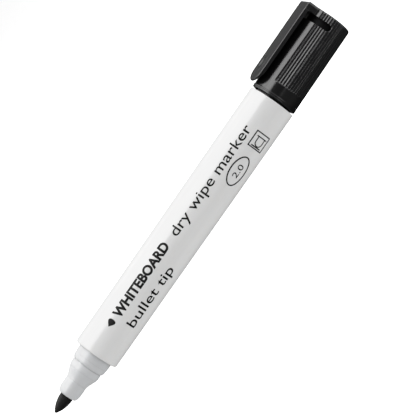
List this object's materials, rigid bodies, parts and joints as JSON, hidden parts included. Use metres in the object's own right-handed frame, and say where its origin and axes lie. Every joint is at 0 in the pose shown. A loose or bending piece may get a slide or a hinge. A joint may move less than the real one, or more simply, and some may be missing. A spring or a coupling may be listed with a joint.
{
  "type": "whiteboard marker",
  "caption": "Bullet-tip whiteboard marker with its ribbed clip cap posted on the tail; cap slides off and turns, clip flexes.",
  "frame": {"origin": "apex of the nib, on the pen's axis", "axes": "+X along the pen from the nib to the closed end of the posted cap, +Z towards the side the clip faces"},
  "size_m": [0.154, 0.0162, 0.0181],
  "materials": {
    "barrel_white": "glossy injection-moulded white polypropylene",
    "tip_white": "satin white polypropylene, slightly cooler than the barrel",
    "nib_fibre": "pressed fibre soaked with black ink",
    "reservoir_fibre": "bonded fibre soaked with black ink",
    "film_clear": "thin clear film sleeve",
    "plug_black": "moulded black polypropylene",
    "inner_black": "moulded black polyethylene",
    "cap_black": "satin-gloss injection-moulded black polypropylene"
  },
  "bodies": {
    "marker": {"barrel": "barrel_white", "front_section": "tip_white", "nib": "nib_fibre", "reservoir_core": "reservoir_fibre", "reservoir_film": "film_clear", "end_plug": "plug_black"},
    "cap_liner": {"inner_cap": "inner_black"},
    "cap": {"cap_shell": "cap_black"},
    "clip": {"cap_clip": "cap_black"}
  },
  "joints": [
    {"name": "cap_pull", "type": "slide", "parent": "marker", "child": "cap_liner", "axis": [1, 0, 0], "range_m": [0, 0.04]},
    {"name": "cap_turn", "type": "hinge", "parent": "cap_liner", "child": "cap", "pos_m": [0.138, 0, 0], "axis": [1, 0, 0], "continuous": true},
    {"name": "clip_flex", "type": "hinge", "parent": "cap", "child": "clip", "pos_m": [0.15125, 0, 0.00925], "axis": [0, 1, 0], "range_deg": [0, 6], "stiffness_Nm_per_rad": 0.41}
  ]
}
